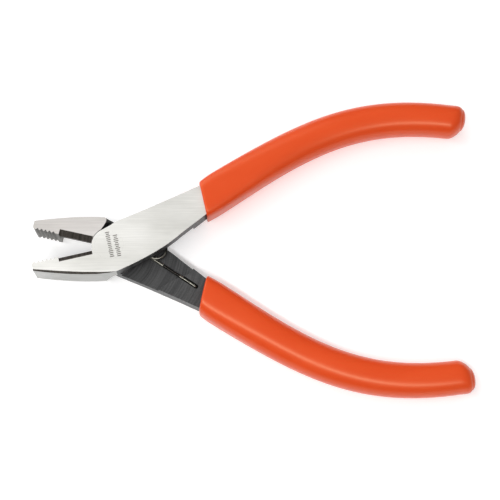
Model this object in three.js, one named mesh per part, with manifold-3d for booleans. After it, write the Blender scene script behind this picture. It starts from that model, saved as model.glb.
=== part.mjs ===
// Small combination side cutters: serrated nose, side cutter, lap joint with a flush rivet,
// return spring between the handles and dipped vinyl grips. Millimetres.
// Origin: on the pivot axis, in the plane of the flat rear face. +X runs along the middle line
// toward the handles, +Y toward the front half's handle, +Z toward the front face.
// Both halves share one drawing. It shows a half in its closed place, jaw face on y = 0, jaw below
// it and handle above it. The front half is that drawing; the rear half is the same one turned
// over about the X axis. Each is then swung open about the pivot by half of the rest opening.

import * as THREE from 'three';
import { mergeVertices } from 'three/addons/utils/BufferGeometryUtils.js';
import Module from 'manifold-3d';

const wasm = await Module();
wasm.setup();

// ---- driving dimensions ----

const thickness = 8.6;          // flat face to flat face, over jaws and joint
const restOpening = 25.4;       // degrees between the two jaw faces at rest

const noseReach = 20.4;         // pivot to the nose
const noseDepth = 2.2;          // jaw depth at the nose
const jawDepth = 7.2;           // jaw depth beside the joint
const jawBelly = 6.5;           // how far before the pivot the outer edge bends level
const gripFaceEnd = 13.4;       // pivot to the joint end of the gripping face
const noseBevel = 0.5;          // flat broken on the nose corner
const backBevel = 0.65;         // flat broken along the jaw's outer edge, on its own front face
const backBevelAtNose = 0.35;   // what is left of it at the nose; it runs out beside the joint

const toothPitch = 1.06;
const toothDepth = 0.5;
const toothLand = 0.03;         // half of the flat left between two grooves
const toothCount = 5;
const firstToothInset = 1.35;   // nose to the middle of the first groove

const cutterBevel = 1.4;        // width of the ground bevel on the flat faces
const cutterEdgeInset = 1.7;    // cutting edges below the front face

const bossRadius = 4.55;        // round boss of the lap joint
const neckHeight = 5.74;        // top of the arm where it leaves the boss
const neckReach = 2.84;
const bossTopAngle = 105;       // degrees round the boss to where it runs into the neck
const shoulderFoot = 2.9;       // pivot to the jaw's rear corner, along X
const shoulderWaist = [2.3, 1.5];      // shoulder's narrowest place: reach, and rise from the outer edge
const shoulderHeelAngle = 229;  // degrees round the boss to where the shoulder meets it
const rampLength = 2.3;         // slope from the shoulder's corner down to the lap face, along X
const lapRadius = 7.4;          // the lap faces bear on each other inside this radius
const armLift = 0.6;            // the arm's inner side stands this far past the middle plane
// Line where the arm gets its full depth: its outer end, the point that it bends toward and its
// inner end, each as a distance before the mouth and a rise above the line of the arm's inner edge.
const stepOuter = [12, 12.11];
const stepBend = [10, 7.25];
const stepInner = [1.7, -1.234];

const mouthReach = 26.2;        // pivot to the mouth of the grip
const armInnerAtMouth = 2.45;   // the arm's edges where it enters the grip
const armOuterAtMouth = 10.4;
const armInnerSlope = 0.48;
const armOuterSlope = 0.22;
const armInnerStraight = 7.6;   // the arm's inner edge is straight for this far before the mouth
const armInnerBend = [12.3, 4.8];      // and then sweeps to the jaw's outer edge past this point
const armOuterSag = 2.7;        // drop of the outer edge's bend below its height at the mouth
const armOuterBend = 14;
const armSeat = 1.6;            // the full arm section runs this far into the grip

const gripEndReach = 94.4;      // pivot to the centre of the grip's round end, along X
const gripEndHeight = 13.6;
const gripMouthCentre = 6.5;    // height of the handle's centre line at the mouth
const handleSlope = 0.37;       // rise at the mouth and fall at the end of the centre line
const handleBow = 26;           // how strongly the centre line bows between them
const gripHalfWidthMouth = 5.3;
const gripHalfWidthEnd = 4.5;
const gripFrontWall = 1.5;      // vinyl over the arm's front face
const gripRearWall = 3.0;       // vinyl behind the arm's inner side
const gripRound = 2.9;          // rounding of its long edges
const tangHalfWidthMouth = 3.4;
const tangHalfWidthEnd = 2.5;
const tangShare = 0.93;         // the tang fills this share of the centre line
const tangTopDrop = 1.3;        // tang's front side below the flat front face

const rivetRadius = 2.6;
const rivetHeadFlare = 1.05;    // head radius beyond the shank's
const rivetHeadDepth = 1.05;

const wireDiameter = 0.75;
const coilRadius = 2.6;         // to the middle of the wire
const coilReach = 11.9;         // pivot to the coil's axis at rest
const legEndBack = 2.2;         // the bent leg end's hole before the grip's mouth, closed drawing
const legEndHeight = 5.05;
const legSink = 0.05;           // the leg's top below the arm's inner side, at its hole
const legBendDepth = 1.9;       // length of the bent end in its hole
const legBendRadius = 0.7;

// ---- clearances ----

const lapGap = 0.1;             // between the two lap faces
const jawGap = 0.06;            // between the closed jaw faces
const shoulderGap = 0.15;       // boss to the other half's shoulder
const rivetGap = 0.05;          // radial
const wireGap = 0.2;            // groove and hole beside the wire
const coilGap = 0.08;           // turn to turn
const coilFloorGap = 0.08;      // coil to the floor of the recess on each side
const cutterGap = 0.07;         // boss to the joint end of the cutter
const sleeveGap = 0.3;          // tang inside the grip
const holeEndGap = 0.6;         // beyond the bent leg end, in its hole

// ---- derived places ----

const middle = thickness / 2;
const halfOpening = THREE.MathUtils.degToRad(restOpening / 2);
const lapFace = middle + lapGap / 2;
const cutterEdgeHeight = thickness - cutterEdgeInset;
const armUnderside = middle - armLift;
const tangTop = thickness - tangTopDrop;
const rivetHeadRadius = rivetRadius + rivetHeadFlare;
const legEnd = new THREE.Vector2(mouthReach - legEndBack, legEndHeight);
const rampInnerRadius = Math.hypot(neckReach, neckHeight) + shoulderGap;
const cutterInnerEnd = bossRadius + cutterGap;
const pivot = new THREE.Vector2();
const coilCentre = new THREE.Vector2(coilReach, 0).rotateAround(pivot, -halfOpening);
const past = 1;                 // how far cutters run past the face they open

// ---- solids ----

function toSolid(geometry) {
  geometry.deleteAttribute('normal');
  geometry.deleteAttribute('uv');
  const merged = mergeVertices(geometry, 1e-4);
  return new wasm.Manifold(new wasm.Mesh({
    numProp: 3,
    vertProperties: Float32Array.from(merged.attributes.position.array),
    triVerts: Uint32Array.from(merged.index.array),
  }));
}

function toGeometry(solid) {
  const mesh = solid.getMesh();
  const geometry = new THREE.BufferGeometry();
  geometry.setAttribute('position', new THREE.BufferAttribute(mesh.vertProperties, mesh.numProp));
  geometry.setIndex(new THREE.BufferAttribute(mesh.triVerts, 1));
  geometry.computeVertexNormals();
  return geometry;
}

function plate(shape, low, high, segments = 16) {
  const geometry = new THREE.ExtrudeGeometry(shape, {
    depth: high - low, bevelEnabled: false, curveSegments: segments,
  });
  geometry.translate(0, 0, low);
  return toSolid(geometry);
}

function polygon(points) {
  return new THREE.Shape(points.map(([x, y]) => new THREE.Vector2(x, y)));
}

// A prism whose outline lies in the Y-Z plane and which runs along X.
function prismAlongX(points, from, to) {
  const geometry = new THREE.ExtrudeGeometry(polygon(points), { depth: to - from, bevelEnabled: false });
  geometry.rotateX(Math.PI / 2);
  geometry.rotateZ(Math.PI / 2);
  geometry.translate(from, 0, 0);
  return toSolid(geometry);
}

// A prism whose outline lies in the X-Z plane and which runs along Y.
function prismAlongY(points, from, to) {
  const geometry = new THREE.ExtrudeGeometry(polygon(points), { depth: to - from, bevelEnabled: false });
  geometry.rotateX(Math.PI / 2);
  geometry.translate(0, to, 0);
  return toSolid(geometry);
}

function turned(profile) {
  const points = profile.map(([radius, height]) => new THREE.Vector2(radius, height));
  const geometry = new THREE.LatheGeometry(points, 48);
  geometry.rotateX(Math.PI / 2);
  return toSolid(geometry);
}

// A round post on the pivot axis, through the full thickness.
function post(radius) {
  return turned([[0, -past], [radius, -past], [radius, thickness + past], [0, thickness + past]]);
}

// ---- outlines of one half, in the closed drawing ----

function innerEdgeHeight(reach) {
  return armInnerAtMouth + armInnerSlope * (reach - mouthReach);
}

function outerEdgeHeight(reach) {
  return armOuterAtMouth + armOuterSlope * (reach - mouthReach);
}

function jawOuterEdge(shape) {
  shape.quadraticCurveTo(-jawBelly, -jawDepth + 0.1, 0.4, -jawDepth);
}

function frontLayerShape() {
  const face = -jawGap / 2;
  const shape = new THREE.Shape();
  shape.moveTo(-noseReach + noseBevel, face);
  shape.lineTo(-noseReach, face - noseBevel);
  shape.lineTo(-noseReach, -noseDepth);
  jawOuterEdge(shape);
  const straight = mouthReach - armInnerStraight;
  shape.quadraticCurveTo(armInnerBend[0], -armInnerBend[1], straight, innerEdgeHeight(straight));
  shape.lineTo(mouthReach, armInnerAtMouth);
  shape.lineTo(mouthReach, armOuterAtMouth);
  shape.quadraticCurveTo(armOuterBend, armOuterAtMouth - armOuterSag, neckReach, neckHeight);
  const top = THREE.MathUtils.degToRad(bossTopAngle);
  shape.quadraticCurveTo(0.6, bossRadius + 0.25, bossRadius * Math.cos(top), bossRadius * Math.sin(top));
  const joint = Math.PI + Math.asin(-face / bossRadius);
  shape.absarc(0, 0, bossRadius, top, joint, false);
  return shape;
}

function jawShape() {
  const face = -jawGap / 2;
  const radius = bossRadius + shoulderGap;
  const heel = THREE.MathUtils.degToRad(shoulderHeelAngle);
  const waist = [-shoulderWaist[0], shoulderWaist[1] - jawDepth];
  const shape = new THREE.Shape();
  shape.moveTo(-noseReach + noseBevel, face);
  shape.lineTo(-noseReach, face - noseBevel);
  shape.lineTo(-noseReach, -noseDepth);
  jawOuterEdge(shape);
  shape.lineTo(0.4, face);
  const block = plate(shape, 0, thickness, 24);
  const room = new THREE.Shape();
  room.moveTo(-shoulderFoot, -jawDepth - past);
  room.lineTo(-shoulderFoot, 0.2 - jawDepth);
  room.quadraticCurveTo(-shoulderFoot + 0.8, 0.4 - jawDepth, ...waist);
  room.quadraticCurveTo(waist[0] - 0.25, waist[1] + 0.9, radius * Math.cos(heel), radius * Math.sin(heel));
  room.absarc(0, 0, radius, heel, Math.PI, true);
  room.lineTo(-radius, past);
  room.lineTo(past, past);
  room.lineTo(past, -jawDepth - past);
  return block.subtract(plate(room, -past, thickness + past, 24));
}

// The slope from the shoulder's corner down to the lap face, outside the neck's sweep.
function shoulderRamp() {
  const start = -shoulderFoot - past;
  const foot = -shoulderFoot + rampLength;
  const wedge = prismAlongY(
    [[start, 0], [-shoulderFoot, 0], [foot, lapFace], [foot, middle + past], [start, middle + past]],
    -jawDepth - past,
    0,
  );
  return wedge.intersect(plate(frontLayerShape(), 0, thickness, 24)).subtract(post(rampInnerRadius));
}

function armEndShape(extra) {
  const from = mouthReach - 4;
  const to = mouthReach + armSeat + extra;
  return polygon([
    [from, innerEdgeHeight(from) - extra],
    [to, innerEdgeHeight(to) - extra],
    [to, outerEdgeHeight(to) + extra],
    [from, outerEdgeHeight(from) + extra],
  ]);
}

function stepPoint([beforeMouth, rise]) {
  const reach = mouthReach - beforeMouth;
  return [reach, innerEdgeHeight(reach) + rise];
}

// The arm before the line where its full depth begins.
function beforeStepShape(from) {
  const top = armOuterAtMouth + past;
  const outer = stepPoint(stepOuter);
  const inner = stepPoint(stepInner);
  const shape = new THREE.Shape();
  shape.moveTo(from, top);
  shape.lineTo(outer[0], top);
  shape.lineTo(...outer);
  shape.quadraticCurveTo(...stepPoint(stepBend), ...inner);
  shape.lineTo(inner[0], -jawDepth - past);
  shape.lineTo(from, -jawDepth - past);
  return shape;
}

// ---- the handle's centre line, and strips and sleeves along it ----

const centreLine = new THREE.CubicBezierCurve(
  new THREE.Vector2(mouthReach, gripMouthCentre),
  new THREE.Vector2(mouthReach + handleBow, gripMouthCentre + handleSlope * handleBow),
  new THREE.Vector2(gripEndReach - handleBow, gripEndHeight + handleSlope * handleBow),
  new THREE.Vector2(gripEndReach, gripEndHeight),
);

function stripShape(widthAtMouth, widthAtEnd, share, lead) {
  const steps = 26;
  const left = [];
  const right = [];
  for (let i = 0; i <= steps; i += 1) {
    const t = share * i / steps;
    const point = centreLine.getPoint(t);
    const along = centreLine.getTangent(t);
    const reach = THREE.MathUtils.lerp(widthAtMouth, widthAtEnd, i / steps);
    if (i === 0) point.addScaledVector(along, -lead);
    left.push(new THREE.Vector2(point.x - along.y * reach, point.y + along.x * reach));
    right.push(new THREE.Vector2(point.x + along.y * reach, point.y - along.x * reach));
  }
  return new THREE.Shape([...right, ...roundEnd(widthAtEnd, share), ...left.reverse()]);
}

// Points round the far end of a strip, between its two sides.
function roundEnd(radius, share) {
  const steps = 12;
  const end = centreLine.getPoint(share);
  const along = centreLine.getTangent(share);
  const start = Math.atan2(-along.x, along.y);
  const points = [];
  for (let i = 1; i < steps; i += 1) {
    const angle = start + Math.PI * i / steps;
    points.push(new THREE.Vector2(end.x + radius * Math.cos(angle), end.y + radius * Math.sin(angle)));
  }
  return points;
}

function tang(extra) {
  const shape = stripShape(tangHalfWidthMouth + extra, tangHalfWidthEnd + extra, tangShare, 2);
  return plate(shape, armUnderside - extra, tangTop + extra);
}

function armEnd(extra) {
  return plate(armEndShape(extra), armUnderside - extra, thickness + extra);
}

// ---- the spring's path ----

// Angle, about the coil, of the point where a leg leaves it, in the closed drawing.
function legTangentAngle() {
  const toEnd = legEnd.clone().sub(coilCentre);
  return toEnd.angle() + Math.acos(coilRadius / toEnd.length());
}

function legStart() {
  const start = new THREE.Vector2(coilRadius, 0).rotateAround(pivot, legTangentAngle());
  return start.add(coilCentre);
}

const coilSweep = 4 * Math.PI - 2 * (legTangentAngle() + halfOpening);
const coilClimb = (wireDiameter + coilGap) * coilSweep / (2 * Math.PI);
const springRelief = (coilClimb + wireDiameter) / 2 + coilFloorGap;
const legTopHeight = middle + armLift - wireDiameter / 2 - legSink;

// Room for the leg in the half that carries it: a slot along the leg and a hole for its bent end.
function legRoom() {
  const start = legStart();
  const length = legEnd.distanceTo(start);
  const side = wireDiameter / 2 + wireGap;
  const slotDepth = springRelief + armLift + past;
  const slot = new THREE.BoxGeometry(length, 2 * side, slotDepth);
  slot.translate(length / 2, 0, middle + springRelief - slotDepth / 2);
  slot.rotateZ(legEnd.clone().sub(start).angle());
  slot.translate(start.x, start.y, 0);
  const holeLow = armUnderside - past;
  const holeDepth = thickness - legTopHeight + legBendDepth + holeEndGap - holeLow;
  const hole = new THREE.CylinderGeometry(side, side, holeDepth, 20);
  hole.rotateX(Math.PI / 2);
  hole.translate(legEnd.x, legEnd.y, holeLow + holeDepth / 2);
  return toSolid(slot).add(toSolid(hole));
}

// ---- cutters shared by both halves ----

function toothGroove(x) {
  const reach = toothPitch / 2 - toothLand;
  const outline = [[x - reach, past], [x - reach, 0], [x, -toothDepth], [x + reach, 0], [x + reach, past]];
  return plate(polygon(outline), -past, thickness + past);
}

function toothGrooves() {
  let grooves = toothGroove(-noseReach + firstToothInset);
  for (let i = 1; i < toothCount; i += 1) {
    grooves = grooves.add(toothGroove(-noseReach + firstToothInset + i * toothPitch));
  }
  return grooves;
}

function cutterRoom(edgeHeight) {
  const tip = -jawGap / 2;
  const frontSlope = (cutterBevel + tip) / (thickness - edgeHeight);
  const rearSlope = (cutterBevel + tip) / edgeHeight;
  return prismAlongX([
    [past, -past],
    [past, thickness + past],
    [-cutterBevel - frontSlope * past, thickness + past],
    [tip, edgeHeight],
    [-cutterBevel - rearSlope * past, -past],
  ], -gripFaceEnd, -cutterInnerEnd);
}

function rivetRoom() {
  const radius = rivetRadius + rivetGap;
  const head = rivetHeadRadius + rivetGap;
  const slope = rivetHeadFlare / rivetHeadDepth;
  return turned([
    [0, -past],
    [head + slope * past, -past],
    [radius, rivetHeadDepth],
    [radius, thickness - rivetHeadDepth],
    [head + slope * past, thickness + past],
    [0, thickness + past],
  ]);
}

// A large block whose lower side follows the jaw's outer edge and is broken at 45 degrees on top.
function backBevelBlock() {
  const far = 150;
  const shape = new THREE.Shape();
  shape.moveTo(-far, far);
  shape.lineTo(-far, -noseDepth);
  shape.lineTo(-noseReach, -noseDepth - (backBevel - backBevelAtNose));
  shape.quadraticCurveTo(-jawBelly, 0.4 - jawDepth, 0.4, -jawDepth - backBevel);
  shape.lineTo(far, -far);
  shape.lineTo(far, far);
  const geometry = new THREE.ExtrudeGeometry(shape, {
    depth: 2 * thickness - 2 * backBevel, bevelEnabled: true, bevelSegments: 1, curveSegments: 24,
    bevelThickness: backBevel, bevelSize: backBevel, bevelOffset: -backBevel,
  });
  geometry.translate(0, 0, backBevel - thickness);
  return toSolid(geometry);
}

// ---- pieces ----

function half(edgeHeight) {
  const frontLayer = plate(frontLayerShape(), lapFace, thickness, 24);
  const relief = plate(beforeStepShape(0), lapFace - past, middle + springRelief).subtract(post(lapRadius));
  const deepArm = plate(frontLayerShape(), armUnderside, middle + past, 24)
    .subtract(plate(beforeStepShape(-noseReach - past), 0, thickness));
  return frontLayer
    .subtract(relief)
    .add(deepArm)
    .add(armEnd(0))
    .add(tang(0))
    .add(jawShape())
    .add(shoulderRamp())
    .intersect(backBevelBlock())
    .subtract(cutterRoom(edgeHeight))
    .subtract(toothGrooves())
    .subtract(rivetRoom())
    .subtract(legRoom());
}

function grip() {
  const shape = stripShape(gripHalfWidthMouth - gripRound, gripHalfWidthEnd - gripRound, 1, 6);
  const gripLow = armUnderside - gripRearWall;
  const gripHigh = thickness + gripFrontWall;
  const geometry = new THREE.ExtrudeGeometry(shape, {
    depth: gripHigh - gripLow - 2 * gripRound, bevelEnabled: true, bevelSegments: 4,
    bevelThickness: gripRound, bevelSize: gripRound, curveSegments: 12,
  });
  geometry.translate(0, 0, gripLow + gripRound);
  const far = 2 * mouthReach;
  const beforeMouth = polygon([[-past, -far], [mouthReach, -far], [mouthReach, far], [-past, far]]);
  return toSolid(geometry)
    .subtract(plate(beforeMouth, -thickness, 3 * thickness))
    .subtract(armEnd(sleeveGap))
    .subtract(tang(sleeveGap));
}

function rivet() {
  return turned([[0, 0], [rivetHeadRadius, 0], [rivetRadius, rivetHeadDepth],
    [rivetRadius, thickness - rivetHeadDepth], [rivetHeadRadius, thickness], [0, thickness]]);
}

// The bent end in the rear half's hole and the leg's start, and the middle of the leg.
function rearLeg(coilStart) {
  const end = legEnd.clone().rotateAround(pivot, halfOpening);
  const corner = new THREE.Vector3(end.x, -end.y, legTopHeight);
  const towardCoil = coilStart.clone().sub(corner).normalize();
  const bendOut = corner.clone().addScaledVector(towardCoil, legBendRadius);
  const bendIn = corner.clone().setZ(legTopHeight - legBendRadius);
  const bend = new THREE.QuadraticBezierCurve3(bendIn, corner, bendOut);
  return [
    corner.clone().setZ(legTopHeight - legBendDepth),
    ...bend.getPoints(5),
    bendOut.clone().lerp(coilStart, 0.5),
  ];
}

// The wire runs from the rear half's hole along its leg, once and a third round the coil, and out
// along the other leg. Turning it over about the X axis gives the same wire.
function springPath() {
  const start = -legTangentAngle() - halfOpening;
  const turns = 30;
  const coil = [];
  for (let i = 0; i <= turns; i += 1) {
    const angle = start - coilSweep * i / turns;
    coil.push(new THREE.Vector3(
      coilReach + coilRadius * Math.cos(angle),
      coilRadius * Math.sin(angle),
      middle + coilClimb * (i / turns - 0.5),
    ));
  }
  const leg = rearLeg(coil[0]);
  const otherLeg = leg.map((point) => new THREE.Vector3(point.x, -point.y, thickness - point.z));
  return [...leg, ...coil, ...otherLeg.reverse()];
}

function spring() {
  const sides = 10;
  const section = [];
  for (let i = 0; i < sides; i += 1) {
    const angle = 2 * Math.PI * i / sides;
    section.push([wireDiameter / 2 * Math.cos(angle), wireDiameter / 2 * Math.sin(angle)]);
  }
  return toSolid(new THREE.ExtrudeGeometry(polygon(section), {
    steps: 150, extrudePath: new THREE.CatmullRomCurve3(springPath()), bevelEnabled: false,
  }));
}

// ---- materials ----

function groundSteel() {
  return new THREE.MeshStandardMaterial({ color: 0xdedcd8, roughness: 0.35, metalness: 1 });
}

function rivetSteel() {
  return new THREE.MeshStandardMaterial({ color: 0xe2e0dc, roughness: 0.3, metalness: 1 });
}

function springSteel() {
  return new THREE.MeshStandardMaterial({ color: 0x8f8f8b, roughness: 0.35, metalness: 1 });
}

function orangeVinyl() {
  return new THREE.MeshStandardMaterial({ color: 0xec5631, roughness: 0.35, metalness: 0 });
}

// ---- assembly ----

function piece(name, solid, material) {
  const mesh = new THREE.Mesh(toGeometry(solid), material);
  mesh.name = name;
  return mesh;
}

const frontSide = new THREE.Group();
frontSide.add(piece('front_half', half(cutterEdgeHeight), groundSteel()));
frontSide.add(piece('front_grip', grip(), orangeVinyl()));
frontSide.rotation.z = halfOpening;

const turnedOver = new THREE.Group();
turnedOver.add(piece('rear_half', half(thickness - cutterEdgeHeight), groundSteel()));
turnedOver.add(piece('rear_grip', grip(), orangeVinyl()));
turnedOver.rotation.x = Math.PI;
turnedOver.position.z = thickness;
const rearSide = new THREE.Group();
rearSide.add(turnedOver);
rearSide.rotation.z = -halfOpening;

const pliers = new THREE.Group();
pliers.add(frontSide, rearSide);
pliers.add(piece('pivot_rivet', rivet(), rivetSteel()));
pliers.add(piece('return_spring', spring(), springSteel()));

export default pliers;
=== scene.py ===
# %% [markdown]
# # Small combination pliers
# Two forged halves turn on a flush rivet, a wire spring opens them, and each handle is dipped in
# orange vinyl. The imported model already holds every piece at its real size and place. This
# lesson dresses it: it gives the steel its ground and blackened faces, sweeps the spring from
# its path, and wraps a soft grip round each handle.

# %% Load the frame
import math

import bmesh
import bpy
from mathutils import Matrix, Vector


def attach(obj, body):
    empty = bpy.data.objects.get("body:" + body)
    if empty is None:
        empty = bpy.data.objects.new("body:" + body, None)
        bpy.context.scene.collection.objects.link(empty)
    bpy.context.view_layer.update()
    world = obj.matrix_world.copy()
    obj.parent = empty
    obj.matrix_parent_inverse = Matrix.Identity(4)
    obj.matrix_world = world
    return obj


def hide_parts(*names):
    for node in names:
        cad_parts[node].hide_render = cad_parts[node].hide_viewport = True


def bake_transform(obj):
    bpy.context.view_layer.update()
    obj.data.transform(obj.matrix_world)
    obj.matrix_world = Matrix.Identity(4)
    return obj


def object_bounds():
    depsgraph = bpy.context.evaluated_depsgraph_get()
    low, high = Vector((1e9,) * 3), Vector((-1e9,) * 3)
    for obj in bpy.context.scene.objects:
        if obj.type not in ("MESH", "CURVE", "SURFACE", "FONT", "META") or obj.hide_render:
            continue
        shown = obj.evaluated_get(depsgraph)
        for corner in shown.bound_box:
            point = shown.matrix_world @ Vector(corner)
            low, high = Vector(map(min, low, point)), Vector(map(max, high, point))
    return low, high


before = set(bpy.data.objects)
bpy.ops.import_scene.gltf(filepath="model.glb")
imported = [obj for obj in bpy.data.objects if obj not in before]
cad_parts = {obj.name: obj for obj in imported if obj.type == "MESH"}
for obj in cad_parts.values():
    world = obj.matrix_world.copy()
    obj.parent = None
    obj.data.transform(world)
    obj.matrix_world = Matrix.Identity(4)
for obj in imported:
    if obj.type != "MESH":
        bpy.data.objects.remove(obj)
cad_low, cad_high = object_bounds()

MM = 0.001


def in_mm(lengths, digits=1):
    """Lengths in metres as rounded millimetres, for printing."""
    return [round(length / MM, digits) for length in lengths]


print("nodes:", ", ".join(sorted(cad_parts)))
print("overall mm:", in_mm(cad_high - cad_low))

# %% [markdown]
# ## One drawing for both halves
# A maker draws one half, and turns the same drawing over for the other. In the drawing the pivot
# is the origin, the jaw points to -X with its gripping face on y = 0, and the handle rises toward
# +Y. FRONT and REAR carry a point of that drawing to where the half stands when the spring has
# opened it, so every piece below is shaped once and placed twice.

# %% Places shared by the pieces
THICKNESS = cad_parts["pivot_rivet"].dimensions.z
REST_OPENING = math.radians(25.4)
FRONT = Matrix.Rotation(REST_OPENING / 2, 4, "Z")
TURNED_OVER = Matrix.Translation((0, 0, THICKNESS)) @ Matrix.Rotation(math.pi, 4, "X")
REAR = Matrix.Rotation(-REST_OPENING / 2, 4, "Z") @ TURNED_OVER
PLACES = {"front": FRONT, "rear": REAR}
print("thickness mm:", in_mm([THICKNESS], 2))

# %% [markdown]
# ## Camera
# A long lens a little in front of the pliers looks down at them. The long lens keeps the two
# handles the same size, and the small lean shows a sliver of each front side.

# %% Camera
LOOK_AT = Vector((36.27, -0.40, 4.3)) * MM
CAMERA_LEAN = math.radians(14.4)
CAMERA_DISTANCE = 388 * MM
CAMERA_ROLL = math.radians(-0.3)
CAMERA_CLIP = 10 * MM
FOCAL_MM = 107.4
SENSOR_MM = 36


def new_piece(name, data):
    """An object that holds this data, added to the scene."""
    piece = bpy.data.objects.new(name, data)
    bpy.context.scene.collection.objects.link(piece)
    return piece


camera_data = bpy.data.cameras.new("camera")
camera_data.lens = FOCAL_MM
camera_data.sensor_width = SENSOR_MM
camera_data.clip_start = CAMERA_CLIP
camera = new_piece("camera", camera_data)
turn = Matrix.Rotation(CAMERA_ROLL, 4, "Z") @ Matrix.Rotation(CAMERA_LEAN, 4, "X")
camera.matrix_world = Matrix.Translation(LOOK_AT) @ turn @ Matrix.Translation((0, 0, CAMERA_DISTANCE))
bpy.context.scene.camera = camera
print("camera mm:", in_mm(camera.matrix_world.translation))

# %% [markdown]
# ## Node trees
# Shader trees and geometry trees are both built from nodes and links, so one helper serves both.
# An input can be a plain value, the output of an earlier node, or the earlier node itself, which
# stands for the first output that it has in use. Colours are written as they look on a screen, in
# hex, and turned to the linear light that the renderer adds up.

# %% Helpers for node trees
def add(tree, kind, inputs=None, **settings):
    """Adds a node with its settings and its inputs, each a value, an output or a node."""
    node = tree.nodes.new(kind)
    for name, value in settings.items():
        setattr(node, name, value)
    for name, value in (inputs or {}).items():
        if isinstance(value, bpy.types.Node):
            value = next(output for output in value.outputs if output.enabled)
        if isinstance(value, bpy.types.NodeSocket):
            tree.links.new(value, node.inputs[name])
        else:
            node.inputs[name].default_value = value
    return node


def linear(hex_colour):
    """A screen colour such as "ec5631" as linear red, green, blue and alpha."""
    parts = [int(hex_colour[i:i + 2], 16) / 255 for i in (0, 2, 4)]
    return [c / 12.92 if c <= 0.04045 else ((c + 0.055) / 1.055) ** 2.4 for c in parts] + [1]


def new_material(name):
    """A material with an empty tree; returns the material and the tree."""
    material = bpy.data.materials.new(name)
    material.use_nodes = True
    material.node_tree.nodes.clear()
    return material, material.node_tree


def set_surface(tree, inputs):
    """Ends a material's tree in one shader with these inputs."""
    shader = add(tree, "ShaderNodeBsdfPrincipled", inputs)
    add(tree, "ShaderNodeOutputMaterial", {"Surface": shader})


print("screen grey 808080 is linear", round(linear("808080")[0], 3))

# %% [markdown]
# ## Patterns in the finishes
# Every finish here is a noise, drawn out to the size and direction of the marks that its making
# leaves, and a pair of tones. A noise mostly stays between 0.3 and 0.7, so the tones are spread
# over that range. The patterns read Object coordinates, which are metres on the piece itself.

# %% Helpers for patterns
TONE_START = 0.3
TONE_END = 0.7


def stretched(tree, length, width, seed):
    """Noise whose grains have this length in X and this width across."""
    place = add(tree, "ShaderNodeTexCoord").outputs["Object"]
    mapped = add(tree, "ShaderNodeMapping", {"Vector": place, "Location": (seed, seed, seed),
                                             "Scale": (1 / length, 1 / width, 1 / width)})
    return add(tree, "ShaderNodeTexNoise", {"Vector": mapped, "Scale": 1.0, "Detail": 3.0})


def two_tone(tree, pattern, low_colour, high_colour):
    """A colour that goes from one tone to the other as the pattern rises."""
    ramp = add(tree, "ShaderNodeValToRGB", {"Fac": pattern})
    low, high = ramp.color_ramp.elements
    low.position, low.color = TONE_START, linear(low_colour)
    high.position, high.color = TONE_END, linear(high_colour)
    return ramp


print("the tones take up", round(TONE_END - TONE_START, 2), "of a noise's full range")

# %% [markdown]
# ## Ground steel
# The flat faces are finished on a surface grinder: the wheel leaves fine straight lines, all in
# one direction, over bright bare steel. The lines are a noise stretched along X. A real grinding
# line is about 0.03 mm wide; here the finest is drawn 0.12 mm wide, as coarse as it needs to show.
# A slow, broad noise under them varies the brightness, as handling and light oil do.

# %% Ground steel
GRIND_LENGTH = 9 * MM
GRIND_WIDTH = 0.12 * MM
GRIND_DEPTH = 0.002 * MM
GRIND_ROUGHER = 0.06
GRIND_SMOOTHER = 0.04
HANDLED_LENGTH = 14 * MM
HANDLED_WIDTH = 5 * MM
HANDLED_SHARE = 0.8


def ground_steel(name, bright, dull, roughness):
    """Bare steel ground in straight lines along X."""
    material, tree = new_material(name)
    lines = stretched(tree, GRIND_LENGTH, GRIND_WIDTH, seed=3.0)
    cloud = stretched(tree, HANDLED_LENGTH, HANDLED_WIDTH, seed=8.0)
    colour = add(tree, "ShaderNodeMix", {"Factor": HANDLED_SHARE, "A": two_tone(tree, lines, dull, bright),
                                         "B": two_tone(tree, cloud, "e6e6e4", "ffffff")},
                 data_type="RGBA", blend_type="MULTIPLY")
    rough = add(tree, "ShaderNodeMapRange", {"Value": lines, "To Min": roughness + GRIND_ROUGHER,
                                             "To Max": roughness - GRIND_SMOOTHER})
    bump = add(tree, "ShaderNodeBump", {"Height": lines, "Distance": GRIND_DEPTH, "Strength": 0.4})
    set_surface(tree, {"Base Color": colour, "Roughness": rough, "Normal": bump, "Metallic": 1.0})
    return material


GROUND = {"front": ground_steel("surface_ground_steel", "e4e3df", "d8d7d3", roughness=0.5),
          "rear": ground_steel("surface_ground_steel_duller", "d2cecb", "c5c1be", roughness=0.5)}
GROUND_SIDE = ground_steel("belt_ground_steel", "bcbcba", "a8a8a6", roughness=0.42)
MILLED = ground_steel("milled_tooth_steel", "8c8b88", "666462", roughness=0.45)
print("steel finishes:", GROUND["front"].name, GROUND_SIDE.name, MILLED.name)

# %% [markdown]
# ## Black oxide
# Before grinding, the whole forging is blackened in a hot salt bath. Where the wheel doesn't
# reach, the thin oxide stays: almost black, a little glossy from oil, and over marks that are
# still there from the mill. A cutter that swung about the pivot left them as rings, so the noise
# is stretched along circles: it reads the distance from the pivot, and drifts slowly along the
# circle. Oxide isn't a clean metal any more, so it is mostly dielectric.

# %% Black oxide
RING_WIDTH = 0.4 * MM
RING_DRIFT = 12 * MM
MILL_GRAIN = 0.3 * MM
MILL_DEPTH = 0.02 * MM
MILL_SHARE = 0.6
ACROSS_THE_AXIS = (1, 1, 0)


def pivot_distance(tree, place):
    """The distance of each point from the pivot's axis."""
    flat = add(tree, "ShaderNodeVectorMath", {0: place, 1: ACROSS_THE_AXIS}, operation="MULTIPLY")
    return add(tree, "ShaderNodeVectorMath", {0: flat}, operation="LENGTH")


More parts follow.
